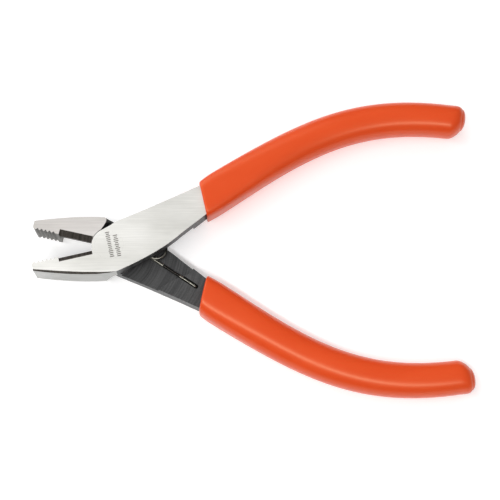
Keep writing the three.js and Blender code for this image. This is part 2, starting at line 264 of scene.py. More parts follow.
def swept(tree, width, seed):
    """Noise in rings about the pivot, each about this wide."""
    place = add(tree, "ShaderNodeTexCoord").outputs["Object"]
    ring = add(tree, "ShaderNodeMath", {0: pivot_distance(tree, place), 1: 1 / width}, operation="MULTIPLY")
    rings = add(tree, "ShaderNodeCombineXYZ", {"X": ring, "Y": seed})
    slow = add(tree, "ShaderNodeVectorMath", {0: place, "Scale": 1 / RING_DRIFT}, operation="SCALE")
    drifting = add(tree, "ShaderNodeVectorMath", {0: rings, 1: slow}, operation="ADD")
    return add(tree, "ShaderNodeTexNoise", {"Vector": drifting, "Scale": 1.0, "Detail": 2.0})


def black_oxide(name, light, dark, roughness):
    """Oil-blackened steel with faint cutter marks left under the oxide."""
    material, tree = new_material(name)
    marks = swept(tree, RING_WIDTH, seed=1.0)
    grain = stretched(tree, MILL_GRAIN, MILL_GRAIN, seed=5.0)
    colour = add(tree, "ShaderNodeMix", {"Factor": MILL_SHARE, "A": two_tone(tree, marks, dark, light),
                                         "B": two_tone(tree, grain, "b0b0b0", "ffffff")},
                 data_type="RGBA", blend_type="MULTIPLY")
    bump = add(tree, "ShaderNodeBump", {"Height": grain, "Distance": MILL_DEPTH, "Strength": 0.5})
    set_surface(tree, {"Base Color": colour, "Normal": bump, "Metallic": 0.35, "Roughness": roughness})
    return material


OXIDE = black_oxide("black_oxide_steel", "525252", "353536", roughness=0.42)
OXIDE_EDGE = black_oxide("black_oxide_bevel", "615b55", "3d3833", roughness=0.5)
print("oxide finishes:", OXIDE.name, OXIDE_EDGE.name)

# %% [markdown]
# ## Spring wire
# The spring is hard-drawn wire: it was pulled through a die, so it shines like a dull mirror. The
# stretch of it that lies deep in its groove in the blackened recess is shaded by the arm above, and
# that shade is painted into its colour as a dark tone. The stretch is found by its distance from
# the pivot, so both legs darken alike.

# %% Spring wire
# Where along the wire its colour is painted dark as shade, as distances from the pivot.
PAINTED_SHADE_FROM = 14.4 * MM
PAINTED_SHADE_TO = 19.4 * MM
DRAWN_LENGTH = 1.5 * MM
DRAWN_WIDTH = 0.4 * MM


def drawn_wire():
    """Hard-drawn spring wire, bright but for painted shade on the stretch that lies in the recess."""
    material, tree = new_material("drawn_spring_wire")
    tone = two_tone(tree, stretched(tree, DRAWN_LENGTH, DRAWN_WIDTH, seed=2.0), "6c6a63", "918f85")
    place = add(tree, "ShaderNodeTexCoord").outputs["Object"]
    # Painted shade: the stretch in the groove is coloured near black, standing in for its shadow.
    painted_shade = add(tree, "ShaderNodeMath", {0: pivot_distance(tree, place), 1: (PAINTED_SHADE_FROM + PAINTED_SHADE_TO) / 2,
                                        2: (PAINTED_SHADE_TO - PAINTED_SHADE_FROM) / 2}, operation="COMPARE")
    colour = add(tree, "ShaderNodeMix", {"Factor": painted_shade, "A": tone, "B": linear("2a2826")},
                 data_type="RGBA")
    set_surface(tree, {"Base Color": colour, "Metallic": 1.0, "Roughness": 0.3})
    return material


WIRE = drawn_wire()
print("wire finish:", WIRE.name)

# %% [markdown]
# ## Dipped vinyl
# The grips are plastisol vinyl: the hot handle is dipped in liquid PVC, which flows smooth before
# it sets. It is a coloured dielectric with a wet-looking skin and a very slight orange peel. A
# little light passes under the surface, which warms the shaded side, and its reflections are
# tinted a little too, because the pigment lies right under the skin.

# %% Dipped vinyl
FLOW_LENGTH = 18 * MM
FLOW_WIDTH = 7 * MM
PEEL_SIZE = 1.6 * MM
PEEL_DEPTH = 0.02 * MM
LIGHT_REACH = 1.2 * MM


def dipped_vinyl():
    """Plastisol-dipped vinyl, orange, flowed smooth."""
    material, tree = new_material("dipped_orange_vinyl")
    cloud = stretched(tree, FLOW_LENGTH, FLOW_WIDTH, seed=4.0)
    peel = stretched(tree, PEEL_SIZE, PEEL_SIZE, seed=9.0)
    bump = add(tree, "ShaderNodeBump", {"Height": peel, "Distance": PEEL_DEPTH, "Strength": 0.25})
    rough = add(tree, "ShaderNodeMapRange", {"Value": cloud, "To Min": 0.29, "To Max": 0.35})
    set_surface(tree, {"Base Color": two_tone(tree, cloud, "da4719", "de4b1d"), "Roughness": rough,
                       "Normal": bump, "IOR": 1.52, "Specular Tint": linear("ffeabf"),
                       "Subsurface Weight": 0.12, "Subsurface Radius": (1.0, 0.25, 0.1),
                       "Subsurface Scale": LIGHT_REACH})
    return material


VINYL = dipped_vinyl()
print("grip finish:", VINYL.name)

# %% [markdown]
# ## The forged halves
# Each half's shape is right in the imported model, but its edges are knife sharp and it is one
# finish all over. Painting masks by hand would be lost at the next change of shape. Here each
# face gets its finish by rule, from where it lies on the forging and which way it faces: the
# flats, the jaw's outer side and the nose are ground, the teeth are milled, the cutter's bevels
# are worn, and all the rest stays black. A normal is one unit long, so each part of it says how
# much the face looks that way: FLAT, FACING and LEANING are the least that counts.

# %% The finish of each face
FLAT = 0.98
FACING = 0.9
LEANING = 0.4
FLAT_BAND = 0.05 * MM
JAW_BACK_END = 0.5 * MM
GRIP_FACE_END = -13.4 * MM
NOSE_START = -18.76 * MM
CUTTER_DEPTH = 2 * MM


def finish_of(place, normal, flat_finish):
    """The finish of a face, from its middle and normal in the half's own drawing."""
    upright = abs(normal.z) > FLAT
    if upright and (place.z > THICKNESS - FLAT_BAND or place.z < FLAT_BAND):
        return flat_finish
    if place.x < JAW_BACK_END and normal.y < -LEANING:
        return OXIDE_EDGE if normal.z > LEANING else GROUND_SIDE
    if normal.x < -FACING and place.x < NOSE_START:
        return GROUND_SIDE
    if place.x < GRIP_FACE_END:
        return MILLED
    on_cutter = place.x < 0 and place.y > -CUTTER_DEPTH
    return OXIDE_EDGE if on_cutter and not upright else OXIDE


top_middle = Vector((0, 0, THICKNESS))
print("the joint's flat gets:", finish_of(top_middle, Vector((0, 0, 1)), GROUND["front"]).name)

# %% [markdown]
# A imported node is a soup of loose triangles, and neither a bevel nor smooth shading works on that.
# A copy is welded into one skin, and triangles that lie in one plane are joined into one face. Big
# faces with many corners are cut into triangles again, because a bevel bends them.

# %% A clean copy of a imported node
WELD = 0.0005 * MM
SAME_PLANE = math.radians(0.5)
MOST_CORNERS = 4


def merged_copy(node, name):
    """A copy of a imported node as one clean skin."""
    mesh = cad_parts[node].data.copy()
    mesh.name = name
    skin = bmesh.new()
    skin.from_mesh(mesh)
    bmesh.ops.remove_doubles(skin, verts=skin.verts, dist=WELD)
    bmesh.ops.dissolve_limit(skin, angle_limit=SAME_PLANE, verts=skin.verts, edges=skin.edges)
    bmesh.ops.triangulate(skin, faces=[face for face in skin.faces if len(face.verts) > MOST_CORNERS])
    skin.to_mesh(mesh)
    skin.free()
    return new_piece(name, mesh)


forgings = {side: merged_copy(side + "_half", side + "_forging") for side in PLACES}
print("faces before the bevel:", {side: len(piece.data.polygons) for side, piece in forgings.items()})

# %% [markdown]
# Tumbling in stone chips breaks the edges of a forging before it is blackened, so they catch a
# thin line of light. A Bevel modifier does the same. It is told by weights to take only long,
# outward edges: it would fold over itself on short ones, and chips don't reach into corners. The
# edges round the rivet stay sharp too, because both halves are ground there after they are joined.
# The result is kept as a plain mesh, and smooth shading is split wherever two faces meet at more
# than a slight angle, so curved walls look round and flats look flat.

# %% Break the edges
EDGE_BREAK = 0.07 * MM
SHORTEST_BROKEN = 0.3 * MM
PIVOT_CLEAR = 5.0 * MM
SHARP = math.radians(28)
CURVED = math.radians(12)


def kept_mesh(piece):
    """The plain mesh that a piece has once its modifiers have worked."""
    bpy.context.view_layer.update()
    ready = piece.evaluated_get(bpy.context.evaluated_depsgraph_get())
    return bpy.data.meshes.new_from_object(ready)


def weigh_edges(mesh):
    """Gives bevel weight to the long outward edges clear of the pivot."""
    skin = bmesh.new()
    skin.from_mesh(mesh)
    weight = skin.edges.layers.float.new("bevel_weight_edge")
    sharp = {edge for edge in skin.edges if edge.is_manifold and edge.calc_face_angle() > SHARP}
    awkward = [edge for edge in sharp if edge.calc_length() < SHORTEST_BROKEN or not edge.is_convex]
    crowded = {vert for edge in awkward for vert in edge.verts}
    crowded |= {vert for vert in skin.verts if vert.co.xy.length < PIVOT_CLEAR}
    for edge in skin.edges:
        broken = edge in sharp and not crowded.intersection(edge.verts)
        edge[weight] = 1.0 if broken else 0.0
    skin.to_mesh(mesh)
    skin.free()


def break_edges(piece, width):
    """Bevels the weighted edges and keeps the result in the piece's own mesh."""
    weigh_edges(piece.data)
    bevel = piece.modifiers.new("edge_break", "BEVEL")
    bevel.limit_method = "WEIGHT"
    bevel.width = width
    bevel.segments = 2
    bevel.use_clamp_overlap = False
    broken_mesh = kept_mesh(piece)
    piece.modifiers.clear()
    piece.data = broken_mesh


def split_shading(mesh):
    """Smooth shading on curved walls and flat shading on flat faces."""
    skin = bmesh.new()
    skin.from_mesh(mesh)
    for face in skin.faces:
        face.smooth = True
    for edge in skin.edges:
        edge.smooth = edge.is_manifold and edge.calc_face_angle() < CURVED
    skin.to_mesh(mesh)
    skin.free()


print("edge break mm:", in_mm([EDGE_BREAK], 2))

# %% Dress both halves
def dress_half(side):
    """Gives the half on this side its finishes and its broken edges."""
    piece = forgings[side]
    finishes = [GROUND[side], GROUND_SIDE, MILLED, OXIDE, OXIDE_EDGE]
    piece.data.materials.clear()
    for material in finishes:
        piece.data.materials.append(material)
    to_drawing = PLACES[side].inverted()
    turn_only = to_drawing.to_3x3()
    for face in piece.data.polygons:
        finish = finish_of(to_drawing @ face.center, turn_only @ face.normal, GROUND[side])
        face.material_index = finishes.index(finish)
    break_edges(piece, EDGE_BREAK)
    split_shading(piece.data)
    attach(piece, side)
    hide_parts(side + "_half")


for side in PLACES:
    dress_half(side)
    print(side, "half faces:", len(forgings[side].data.polygons))

# %% [markdown]
# ## The rivet
# The rivet is pressed until it swells and fills its countersinks, and then both its ends are
# ground off with the faces, so from outside it can hardly be told from the forging. The packed
# rivet turns in a small gap; this copy is swollen across to close most of it.

# %% Rivet
RIVET_GAP = 0.05 * MM
RIVET_FILL = 0.9
SAME_LEVEL = 0.01 * MM

rivet = merged_copy("pivot_rivet", "flush_rivet")
swell = 1 + RIVET_FILL * RIVET_GAP / (rivet.dimensions.x / 2)
rivet.data.transform(Matrix.Diagonal((swell, swell, 1, 1)))
rivet.data.materials.clear()
rivet.data.materials.append(GROUND["front"])
for face in rivet.data.polygons:
    face.use_smooth = abs(face.normal.z) < FLAT
for edge in rivet.data.edges:
    heights = [rivet.data.vertices[i].co.z for i in edge.vertices]
    edge.use_edge_sharp = abs(heights[0] - heights[1]) < SAME_LEVEL
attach(rivet, "rear")
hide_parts("pivot_rivet")
print("rivet mm:", in_mm(rivet.dimensions, 2))

# %% [markdown]
# ## Geometry Nodes, once
# The etched marks repeat, and the spring and the grips follow a path, so a node tree makes each
# of them: the sizes are inputs on the modifier, and changing one remakes the piece. Afterwards
# the result is kept as a plain mesh, because a piece that rides on a moving body can't be remade
# at every pose.

# %% Helpers for geometry trees
def new_tree(name, sizes):
    """A geometry tree with these inputs; returns the tree and the outputs that give them."""
    tree = bpy.data.node_groups.new(name, "GeometryNodeTree")
    tree.interface.new_socket("Geometry", in_out="INPUT", socket_type="NodeSocketGeometry")
    for size, kind in sizes.items():
        tree.interface.new_socket(size, in_out="INPUT", socket_type=kind)
    tree.interface.new_socket("Geometry", in_out="OUTPUT", socket_type="NodeSocketGeometry")
    return tree, tree.nodes.new("NodeGroupInput").outputs


def close_tree(tree, geometry, material, smooth=True):
    """Ends a tree: real geometry, smooth or flat faces and one material."""
    real = add(tree, "GeometryNodeRealizeInstances", {"Geometry": geometry})
    shaded = add(tree, "GeometryNodeSetShadeSmooth", {"Geometry": real, "Shade Smooth": smooth})
    dressed = add(tree, "GeometryNodeSetMaterial", {"Geometry": shaded, "Material": material})
    add(tree, "NodeGroupOutput", {"Geometry": dressed})
    print("tree", tree.name, "has", len(tree.nodes), "nodes")


def made_by(tree, start, name, values):
    """The piece that a tree makes of the start mesh, with these values for its inputs."""
    worker = new_piece(name + "_start", start)
    modifier = worker.modifiers.new("maker", "NODES")
    modifier.node_group = tree
    for item in tree.interface.items_tree:
        if item.item_type == "SOCKET" and item.name in values:
            modifier[item.identifier] = values[item.name]
    mesh = kept_mesh(worker)
    worker.modifiers.remove(modifier)
    bpy.data.objects.remove(worker)
    mesh.name = name
    print(name, "has", len(mesh.polygons), "faces")
    return new_piece(name, mesh)


# %% [markdown]
# ## Etched marks
# The flat of the joint carries two short columns of marks, burnt dark by a laser. Here they are
# plain ticks of varying length that spell nothing. Painting them into the steel's material would
# tie it to one place, so each column is a row of thin films laid in the face: one rounded tick is
# made once and set on every point of a line, and a seeded random number shortens it.

# %% Laser-etched scale
SCALE_LENGTH = 0.5 * MM
SCALE_WIDTH = 0.3 * MM


def laser_mark():
    """Steel darkened by a laser: a rough, brown-grey scale of uneven depth."""
    material, tree = new_material("laser_etched_scale")
    depth = stretched(tree, SCALE_LENGTH, SCALE_WIDTH, seed=6.0)
    set_surface(tree, {"Base Color": two_tone(tree, depth, "5c5955", "86827c"), "Metallic": 0.3,
                       "Roughness": 0.6})
    return material


ETCHED = laser_mark()
print("mark finish:", ETCHED.name)

# %% A tree that rows up ticks
CORNER_SHARE = 0.35
CORNER_STEPS = 3
SHORTEST_TICK = 0.55
TICK_WELD = 0.001 * MM


def tick(tree, given):
    """One rounded tick, a thin closed film."""
    outline = add(tree, "GeometryNodeCurvePrimitiveQuadrilateral",
                  {"Width": given["Length"], "Height": given["Width"]})
    corner = add(tree, "ShaderNodeMath", {0: given["Width"], 1: CORNER_SHARE}, operation="MULTIPLY")
    rounded = add(tree, "GeometryNodeFilletCurve", {"Curve": outline, "Count": CORNER_STEPS,
                                                    "Radius": corner}, mode="POLY")
    filled = add(tree, "GeometryNodeFillCurve", {"Curve": rounded}, mode="NGONS")
    upward = add(tree, "ShaderNodeCombineXYZ", {"Z": given["Thickness"]})
    raised = add(tree, "GeometryNodeExtrudeMesh", {"Mesh": filled, "Individual": False,
                                                   "Offset": upward, "Offset Scale": 1.0})
    under = add(tree, "GeometryNodeFlipFaces", {"Mesh": filled})
    both = add(tree, "GeometryNodeJoinGeometry", {"Geometry": raised})
    tree.links.new(under.outputs["Mesh"], both.inputs["Geometry"])
    return add(tree, "GeometryNodeMergeByDistance", {"Geometry": both, "Distance": TICK_WELD})


def tick_tree():
    """A row of ticks, each shortened at random."""
    vector, size, number = "NodeSocketVector", "NodeSocketFloat", "NodeSocketInt"
    tree, given = new_tree("etched_ticks", {"Start": vector, "Step": vector, "Count": number, "Length": size,
                                            "Width": size, "Thickness": size, "Seed": number})
    row = add(tree, "GeometryNodeMeshLine", {"Count": given["Count"], "Start Location": given["Start"],
                                             "Offset": given["Step"]})
    shortened = add(tree, "FunctionNodeRandomValue", {"Min": (SHORTEST_TICK, 1, 1), "Max": (1, 1, 1),
                                                      "Seed": given["Seed"]}, data_type="FLOAT_VECTOR")
    ticks = add(tree, "GeometryNodeInstanceOnPoints", {"Points": row, "Instance": tick(tree, given),
                                                       "Scale": shortened})
    close_tree(tree, ticks, ETCHED, smooth=False)
    return tree


TICKS = tick_tree()

# %% Two columns of ticks
TICK_LENGTH = 1.35 * MM
TICK_WIDTH = 0.26 * MM
TICK_PITCH = 0.5 * MM
FILM_SINK = 0.02 * MM
FILM_PROUD = 0.01 * MM
COLUMNS = {"inner": {"across": 0.16 * MM, "top": 3.4 * MM, "count": 14, "seed": 3},
           "outer": {"across": 2.0 * MM, "top": 2.2 * MM, "count": 12, "seed": 4}}

for name, column in COLUMNS.items():
    start = (column["across"], column["top"], THICKNESS - FILM_SINK)
    marks = made_by(TICKS, bpy.data.meshes.new("no_points"), name + "_etched_ticks",
                    {"Start": start, "Step": (0, -TICK_PITCH, 0), "Count": column["count"],
                     "Length": TICK_LENGTH, "Width": TICK_WIDTH,
                     "Thickness": FILM_SINK + FILM_PROUD, "Seed": column["seed"]})
    marks.data.transform(FRONT)
    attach(marks, "front")

# %% [markdown]
# ## The return spring
# One wire: a bent end in the rear handle, a leg, a coil of one turn and a third, and the other
# leg and bent end in the front handle. Turning it over about X gives the same wire, so only the
# first half of its path is worked out and the rest is that half turned over.

# %% The wire's path
WIRE_DIAMETER = 0.75 * MM
COIL_RADIUS = 2.6 * MM
COIL_REACH = 11.9 * MM
COIL_PITCH = 0.83 * MM
LEG_END = Vector((24.0, 5.05)) * MM
LEG_SINK = 0.05 * MM
LEG_BEND_DEPTH = 1.9 * MM
LEG_BEND_RADIUS = 0.7 * MM
ARM_LIFT = 0.6 * MM
COIL_STEPS = 40
BEND_STEPS = 8


def turned_over(point):
    """The same point of the wire after the pliers are turned over about X."""
    return Vector((point.x, -point.y, THICKNESS - point.z))


def wire_path():
    """Points from the bent end in the front handle, through the coil, to the one in the rear."""
    middle = THICKNESS / 2
    end_flat = FRONT.to_2x2() @ LEG_END
    top = Vector((end_flat.x, -end_flat.y, middle + ARM_LIFT - WIRE_DIAMETER / 2 - LEG_SINK))
    to_end = Vector((end_flat.x - COIL_REACH, end_flat.y))
    leave = math.atan2(to_end.y, to_end.x) + math.acos(COIL_RADIUS / to_end.length)
    sweep = 2 * math.pi - leave
    climb = COIL_PITCH * sweep / math.pi
    points = []
    for step in range(COIL_STEPS + 1):
        share = step / COIL_STEPS
        angle = -leave - sweep * (1 - share)
        points.append(Vector((COIL_REACH + COIL_RADIUS * math.cos(angle), COIL_RADIUS * math.sin(angle),
                              middle - climb / 2 * share)))
    toward_coil = (points[-1] - top).normalized()
    bend_out = top + toward_coil * LEG_BEND_RADIUS
    bend_in = top - Vector((0, 0, LEG_BEND_RADIUS))
    points.append((points[-1] + bend_out) / 2)
    for step in range(BEND_STEPS + 1):
        share = step / BEND_STEPS
        points.append(bend_out.lerp(top, share).lerp(top.lerp(bend_in, share), share))
    points.append(top - Vector((0, 0, LEG_BEND_DEPTH)))
    return [turned_over(point) for point in reversed(points[1:])] + points


WIRE_POINTS = wire_path()
wire_length = sum((b - a).length for a, b in zip(WIRE_POINTS, WIRE_POINTS[1:]))
print("wire points:", len(WIRE_POINTS), "length mm:", in_mm([wire_length]))

# %% Sweep the wire
WIRE_SIDES = 16


def path_mesh(name, points):
    """A mesh of one open line through the points."""
    mesh = bpy.data.meshes.new(name)
    mesh.from_pydata(points, [(i, i + 1) for i in range(len(points) - 1)], [])
    return mesh


def wire_tree():
    """A round wire along the incoming line, its ends closed."""
    tree, given = new_tree("sweep_wire", {"Diameter": "NodeSocketFloat", "Sides": "NodeSocketInt"})
    radius = add(tree, "ShaderNodeMath", {0: given["Diameter"], 1: 0.5}, operation="MULTIPLY")
    line = add(tree, "GeometryNodeMeshToCurve", {"Mesh": given["Geometry"]})
    section = add(tree, "GeometryNodeCurvePrimitiveCircle", {"Resolution": given["Sides"], "Radius": radius})
    tube = add(tree, "GeometryNodeCurveToMesh", {"Curve": line, "Profile Curve": section,
                                                 "Fill Caps": True})
    close_tree(tree, tube, WIRE)
    return tree


spring = made_by(wire_tree(), path_mesh("wire_line", WIRE_POINTS), "torsion_spring",
                 {"Diameter": WIRE_DIAMETER, "Sides": WIRE_SIDES})
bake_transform(spring)
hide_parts("return_spring")

# %% [markdown]
# ## Dipped grips
# A dipped sleeve has no seam: it follows the bowed handle like a skin. Boat builders describe such
# a form by stations, the cross-sections along its keel, and the same idea works here. Each station
# says how far along the handle it stands and how wide, deep and square it is. A node tree then
# wraps rings of points round the handle's centre line, one ring for each station. The rings start
# inside, run out along the tang, turn over the rounded lip at the mouth, and close in the dome
# and the small drip nub that dipping leaves at the end.

# %% The handle's centre line
LINE_START = Vector((26.2, 6.5, 0)) * MM
LINE_END = Vector((94.4, 13.6, 0)) * MM
HANDLE_SLOPE = 0.37
HANDLE_BOW = 26 * MM
START_HANDLE = LINE_START + Vector((HANDLE_BOW, HANDLE_SLOPE * HANDLE_BOW, 0))
END_HANDLE = LINE_END + Vector((-HANDLE_BOW, HANDLE_SLOPE * HANDLE_BOW, 0))
MEASURING_STEPS = 400


def centre_line_length():
    """Length of the centre line, added up in short steps."""
    total, last = 0, LINE_START
    for step in range(1, MEASURING_STEPS + 1):
        t = step / MEASURING_STEPS
        here = ((1 - t) ** 3 * LINE_START + 3 * t * (1 - t) ** 2 * START_HANDLE
                + 3 * t * t * (1 - t) * END_HANDLE + t ** 3 * LINE_END)
        total, last = total + (here - last).length, here
    return total


LINE_LENGTH = centre_line_length()
LENGTH_MM = LINE_LENGTH / MM
print("centre line mm:", round(LENGTH_MM, 2))

# %% [markdown]
# The numbers of a station are millimetres, but for three. Squareness is the power that bends an
# ellipse: 1 leaves it round and 0 would make it a box. A dipped sleeve is squarest at its mouth,
# where it covers the flat arm. Lean is 1 where the section stands across the tool, as the mouth
# does, and 0 where it stands across the handle.

# %% Stations of the sleeve's outside
GRIP_RISE = 5.4
WIDTH_MOUTH = 5.05
WIDTH_END = 4.35
DEPTH_MOUTH = 4.7
DEPTH_END = 4.45
SWELL = 0.12
SWELL_AT = 2.5
SWELL_SPREAD = 2.2
LEAN_FADES = 9
SQUARE_MOUTH = {"square_front": 0.42, "square_rear": 0.66}
SQUARE_END = 0.86
SQUARE_FADES = {"square_front": (2, 34), "square_rear": (0, 24)}


def eased(value, start, end):
    """0 before start, 1 after end, smooth between."""
    share = min(max((value - start) / (end - start), 0), 1)
    return share * share * (3 - 2 * share)


def between(first, second, share):
    """The value that lies this share of the way from first to second."""
    return first + (second - first) * share


def outer_station(along):
    """The sleeve's outer section at this distance from the mouth."""
    station = {"along": along, "rise": GRIP_RISE, "lean": 1 - eased(along, 0, LEAN_FADES),
               "depth": between(DEPTH_MOUTH, DEPTH_END, along / LENGTH_MM)}
    swell = SWELL * math.exp(-((along - SWELL_AT) / SWELL_SPREAD) ** 2)
    station["width"] = between(WIDTH_MOUTH, WIDTH_END, along / LENGTH_MM) + swell
    for side, (start, end) in SQUARE_FADES.items():
        station[side] = between(SQUARE_MOUTH[side], SQUARE_END, eased(along, start, end))
    return station


print("width mm at the mouth and end:", [round(outer_station(at)["width"], 2) for at in (0, LENGTH_MM)])

# %% Stations of the room inside
ARM_ROOM = {"rise": 6.15, "width": 4.2, "depth": 2.65, "square_front": 0.2, "square_rear": 0.2}
TANG_ROOM = {"rise": 5.5, "width": 3.5, "depth": 2.0, "square_front": 0.25, "square_rear": 0.25}
ARM_ROOM_DEPTH = 1.9
ARM_ROOM_STEP = 0.1
TANG_ROOM_END = 0.95
TANG_STEPS = 20
BLUNT_LENGTH = 1.5
BLUNT_SHARES = (0, 0.5, 0.85, 1)
MOUTH_EASE = 0.12
MOUTH_EASE_FROM = 0.25
MOUTH_EASE_TO = 0.05


def inner_stations():
    """The room in the sleeve, from its blind end out to the mouth."""
    end_along = LENGTH_MM * TANG_ROOM_END
    narrow = between(1, WIDTH_END / WIDTH_MOUTH, TANG_ROOM_END)
    rows = []
    for share in BLUNT_SHARES:
        rows.append({**TANG_ROOM, "along": end_along + BLUNT_LENGTH * (1 - share),
                     "width": TANG_ROOM["width"] * narrow * share, "depth": TANG_ROOM["depth"] * share})
    for step in range(TANG_STEPS, -1, -1):
        along = between(ARM_ROOM_DEPTH + ARM_ROOM_STEP, end_along, step / TANG_STEPS)
        rows.append({**TANG_ROOM, "along": along, "lean": 1 - eased(along, 0, LEAN_FADES)})
    for along, ease in ((ARM_ROOM_DEPTH, 0), (MOUTH_EASE_FROM, 0), (MOUTH_EASE_TO, MOUTH_EASE)):
        rows.append({**ARM_ROOM, "along": along, "lean": 1, "width": ARM_ROOM["width"] + ease,
                     "depth": ARM_ROOM["depth"] + ease})
    return rows


print("inner stations:", len(inner_stations()))

# %% All stations, from the blind end inside to the tip
LIP_ROUND = 0.5
LIP_STEPS = 6
SLEEVE_STEPS = 60
CROWDING = 1.15
NUB_SHIFT = 0.9
NUB_SHIFT_END = 4
DOME_LENGTH = 0.98
# The end of the sleeve, as distance past the centre line's end and share of the section left. It
# rounds in to 3 mm, steps down to the drip nub at 3.25 mm, and closes round at 4.4 mm. All of it
# is drawn DOME_LENGTH times as long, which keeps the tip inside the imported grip.
DOME = ((0.6, 0.992), (1.2, 0.97), (1.8, 0.93), (2.3, 0.875), (2.7, 0.815), (3.0, 0.75), (3.15, 0.705),
        (3.25, 0.675), (3.45, 0.65), (3.7, 0.6), (3.95, 0.51), (4.15, 0.4), (4.3, 0.27), (4.38, 0.13),
        (4.4, 0))


def lip_stations():
    """A quarter round from the mouth's face to the outside."""
    mouth = outer_station(0)
    rows = []
    for step in range(LIP_STEPS + 1):
        angle = math.pi / 2 * step / LIP_STEPS
        inset = LIP_ROUND * (1 - math.sin(angle))
        rows.append({**mouth, "along": LIP_ROUND * (1 - math.cos(angle)), "width": mouth["width"] - inset,
                     "depth": mouth["depth"] - inset})
    return rows


def grip_stations():
    """Every section of the sleeve, in the order in which the skin passes them."""
    rows = inner_stations() + lip_stations()
    for step in range(1, SLEEVE_STEPS + 1):
        rows.append(outer_station(between(LIP_ROUND, LENGTH_MM, (step / SLEEVE_STEPS) ** CROWDING)))
    end = outer_station(LENGTH_MM)
    for beyond, share in DOME:
        rows.append({**end, "along": LENGTH_MM + DOME_LENGTH * beyond, "width": end["width"] * share,
                     "depth": end["depth"] * share, "shift": NUB_SHIFT * eased(beyond, 0, NUB_SHIFT_END)})
    return rows


STATIONS = grip_stations()
print("stations:", len(STATIONS), "last one at mm:", round(STATIONS[-1]["along"], 2))

# %% [markdown]
# The tree gets the stations as loose points that carry their values as attributes. It makes a
# grid with one row for each station, and works out from a point's number which row and column it
# is in. The column says how far round the section the point is, and the row says which section.
# The last column falls on the first, and welding the two closes the skin.

# %% The stations as points, and reading them back
STATION_VALUES = ("along", "shift", "rise", "width", "depth", "square_front", "square_rear", "lean")
PURE_NUMBERS = ("square_front", "square_rear", "lean")


def station_mesh():
    """One point for each station, its values kept as attributes, lengths in metres."""
    mesh = bpy.data.meshes.new("grip_stations")
    mesh.from_pydata([(0, 0, 0)] * len(STATIONS), [], [])
    for name in STATION_VALUES:
        scale = 1 if name in PURE_NUMBERS else MM
        values = [row.get(name, 0) * scale for row in STATIONS]
        mesh.attributes.new(name, "FLOAT", "POINT").data.foreach_set("value", values)
    return mesh


def station_values(tree, stations, row):
    """The value of each attribute at the station of this row."""
    values = {}
    for name in STATION_VALUES:
        stored = add(tree, "GeometryNodeInputNamedAttribute", {"Name": name}, data_type="FLOAT")
        values[name] = add(tree, "GeometryNodeSampleIndex", {"Geometry": stations, "Value": stored,
                                                             "Index": row},
                           data_type="FLOAT", domain="POINT")
    return values


print("values at each station:", ", ".join(STATION_VALUES))

# %% A point on one section
def row_and_column(tree, columns):
    """The row and the column of each point of a grid, from its number."""
    index = add(tree, "GeometryNodeInputIndex")
    inside = add(tree, "ShaderNodeMath", {0: index, 1: 0.5}, operation="ADD")
    rows = add(tree, "ShaderNodeMath", {0: inside, 1: columns}, operation="DIVIDE")
    row = add(tree, "ShaderNodeMath", {0: rows}, operation="FLOOR")
    before = add(tree, "ShaderNodeMath", {0: row, 1: columns}, operation="MULTIPLY")
    return row, add(tree, "ShaderNodeMath", {0: index, 1: before}, operation="SUBTRACT")


def section_point(tree, turned, value):
    """How far across and up a point of a rounded square is, its half sides 1."""
    angle = add(tree, "ShaderNodeMath", {0: turned, 1: 2 * math.pi}, operation="MULTIPLY")
    sine = add(tree, "ShaderNodeMath", {0: angle}, operation="SINE")
    in_front = add(tree, "ShaderNodeMath", {0: sine, 1: 0.0}, operation="GREATER_THAN")
    square = add(tree, "ShaderNodeMix", {"Factor": in_front, "A": value["square_rear"],
                                         "B": value["square_front"]}, data_type="FLOAT")
    point = []
    for operation in ("COSINE", "SINE"):
        wave = add(tree, "ShaderNodeMath", {0: angle}, operation=operation)
        size = add(tree, "ShaderNodeMath", {0: wave}, operation="ABSOLUTE")
        bent = add(tree, "ShaderNodeMath", {0: size, 1: square}, operation="POWER")
        sign = add(tree, "ShaderNodeMath", {0: wave}, operation="SIGN")
        point.append(add(tree, "ShaderNodeMath", {0: sign, 1: bent}, operation="MULTIPLY"))
    return point


corner_powers = {"mouth": SQUARE_MOUTH["square_front"], "end": SQUARE_END}
print("half sides that a corner reaches:", {at: round(0.5 ** (power / 2), 2)
                                            for at, power in corner_powers.items()})

# %% Wrap the sections round the centre line
LINE_STEPS = 256
GRIP_WELD = 0.002 * MM


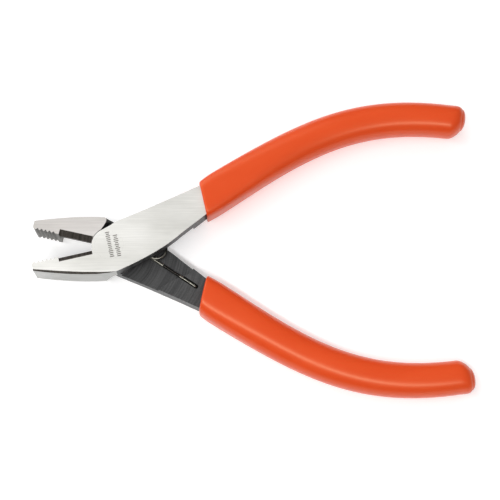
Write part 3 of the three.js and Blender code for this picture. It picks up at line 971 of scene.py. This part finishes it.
def wrapped_place(tree, line, length, value, wide, deep):
    """Where a point of a section goes, in metres."""
    on_line = add(tree, "ShaderNodeMath", {0: value["along"], 1: length}, operation="MINIMUM")
    past_end = add(tree, "ShaderNodeMath", {0: value["along"], 1: on_line}, operation="SUBTRACT")
    sampled = add(tree, "GeometryNodeSampleCurve", {"Curves": line, "Length": on_line}, mode="LENGTH",
                  use_all_curves=True).outputs
    side = add(tree, "ShaderNodeVectorMath", {0: (0, 0, 1), 1: sampled["Tangent"]},
               operation="CROSS_PRODUCT")
    leaning = add(tree, "ShaderNodeMix", {"Factor": value["lean"], "A": side, "B": (0, 1, 0)},
                  data_type="VECTOR")
    across = add(tree, "ShaderNodeVectorMath", {0: leaning}, operation="NORMALIZE")
    reach = add(tree, "ShaderNodeMath", {0: value["width"], 1: wide, 2: value["shift"]},
                operation="MULTIPLY_ADD")
    height = add(tree, "ShaderNodeMath", {0: value["depth"], 1: deep, 2: value["rise"]},
                 operation="MULTIPLY_ADD")
    sideways = add(tree, "ShaderNodeVectorMath", {0: across, "Scale": reach}, operation="SCALE")
    onward = add(tree, "ShaderNodeVectorMath", {0: sampled["Tangent"], "Scale": past_end},
                 operation="SCALE")
    upward = add(tree, "ShaderNodeCombineXYZ", {"Z": height})
    level = add(tree, "ShaderNodeVectorMath", {0: sampled["Position"], 1: sideways}, operation="ADD")
    lifted = add(tree, "ShaderNodeVectorMath", {0: onward, 1: upward}, operation="ADD")
    return add(tree, "ShaderNodeVectorMath", {0: level, 1: lifted}, operation="ADD")


def grip_tree():
    """Rings of points round the centre line, one for each incoming station, joined to a skin."""
    vector, number = "NodeSocketVector", "NodeSocketInt"
    tree, given = new_tree("wrap_grip", {"Start": vector, "Start Handle": vector, "End Handle": vector,
                                         "End": vector, "Length": "NodeSocketFloat",
                                         "Stations": number, "Around": number})
    line = add(tree, "GeometryNodeCurvePrimitiveBezierSegment",
               {"Start": given["Start"], "Start Handle": given["Start Handle"],
                "End Handle": given["End Handle"], "End": given["End"], "Resolution": LINE_STEPS})
    columns = add(tree, "ShaderNodeMath", {0: given["Around"], 1: 1.0}, operation="ADD")
    grid = add(tree, "GeometryNodeMeshGrid", {"Vertices X": given["Stations"], "Vertices Y": columns})
    row, column = row_and_column(tree, columns)
    value = station_values(tree, given["Geometry"], row)
    round_trip = add(tree, "ShaderNodeMath", {0: column, 1: given["Around"]}, operation="MODULO")
    turned = add(tree, "ShaderNodeMath", {0: round_trip, 1: given["Around"]}, operation="DIVIDE")
    wide, deep = section_point(tree, turned, value)
    place = wrapped_place(tree, line, given["Length"], value, wide, deep)
    wrapped = add(tree, "GeometryNodeSetPosition", {"Geometry": grid, "Position": place})
    welded = add(tree, "GeometryNodeMergeByDistance", {"Geometry": wrapped, "Distance": GRIP_WELD})
    close_tree(tree, welded, VINYL)
    return tree


SLEEVE_TREE = grip_tree()

# %% One grip for each handle
POINTS_AROUND = 64

for side, place in PLACES.items():
    sleeve = made_by(SLEEVE_TREE, station_mesh(), side + "_vinyl_grip",
                     {"Start": LINE_START, "Start Handle": START_HANDLE, "End Handle": END_HANDLE,
                      "End": LINE_END, "Length": LINE_LENGTH, "Stations": len(STATIONS),
                      "Around": POINTS_AROUND})
    sleeve.data.transform(place)
    skin = bmesh.new()
    skin.from_mesh(sleeve.data)
    bmesh.ops.recalc_face_normals(skin, faces=skin.faces)
    print(side, "open edges:", sum(not edge.is_manifold for edge in skin.edges))
    skin.to_mesh(sleeve.data)
    skin.free()
    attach(sleeve, side)
    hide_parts(side + "_grip")

# %% [markdown]
# ## Studio
# A matt white card lies under the lowest side of the pliers, which rest on their grips. It glows
# a little, as a card does that is lit from below, so that the orange grips don't tint it much.

# %% Floor
FLOOR_SIZE = 4.0
CARD_GLOW = 0.28


def floor_piece():
    """A pale matt sheet under the pliers."""
    material, tree = new_material("matt_white_card")
    set_surface(tree, {"Base Color": linear("f4f4f4"), "Roughness": 0.9,
                       "Emission Color": linear("ffffff"), "Emission Strength": CARD_GLOW})
    half = FLOOR_SIZE / 2
    corners = [(-half, -half), (half, -half), (half, half), (-half, half)]
    mesh = bpy.data.meshes.new("floor")
    mesh.from_pydata([(x, y, cad_low.z) for x, y in corners], [], [(0, 1, 2, 3)])
    mesh.materials.append(material)
    return new_piece("floor", mesh)


floor_piece()
print("floor height mm:", in_mm([cad_low.z]))

# %% [markdown]
# Bare steel shows what stands round it, so the lights are shaped for their mirror images. A wide
# soft box behind and to the left fills the ground faces and shades the grips' front sides. A
# long, narrow strip lays the thin highlight along each grip. The surround is bright overhead and
# dim at the horizon, so the sides of the jaws stay darker than their flats.

# %% Lights
SKY_HORIZON = 0.05
SKY_ZENITH = 0.5


def soft_box(name, place, width, height, power):
    """An area light that faces the pliers, its sides in metres and its power in watts."""
    light = bpy.data.lights.new(name, "AREA")
    light.shape = "RECTANGLE"
    light.size = width
    light.size_y = height
    light.energy = power
    holder = new_piece(name, light)
    holder.location = place
    holder.rotation_euler = (LOOK_AT - Vector(place)).to_track_quat("-Z", "Y").to_euler()


def surround():
    """A sky that is bright overhead and dim at the horizon."""
    sky = bpy.data.worlds.new("surround")
    sky.use_nodes = True
    tree = sky.node_tree
    upward = add(tree, "ShaderNodeTexCoord").outputs["Generated"]
    height = add(tree, "ShaderNodeSeparateXYZ", {"Vector": upward}).outputs["Z"]
    strength = add(tree, "ShaderNodeMapRange", {"Value": height, "To Min": SKY_HORIZON,
                                                "To Max": SKY_ZENITH})
    tree.links.new(strength.outputs["Result"], tree.nodes["Background"].inputs["Strength"])
    tree.nodes["Background"].inputs["Color"].default_value = linear("ffffff")
    return sky


soft_box("rear_box", (-0.6, 0.7, 0.7), width=0.9, height=1.0, power=6.6)
soft_box("front_strip", (-0.15, -0.27, 0.85), width=1.2, height=0.12, power=6.0)
bpy.context.scene.world = surround()
bpy.context.scene.view_settings.view_transform = "Standard"
print("lights:", [light.name for light in bpy.data.lights])
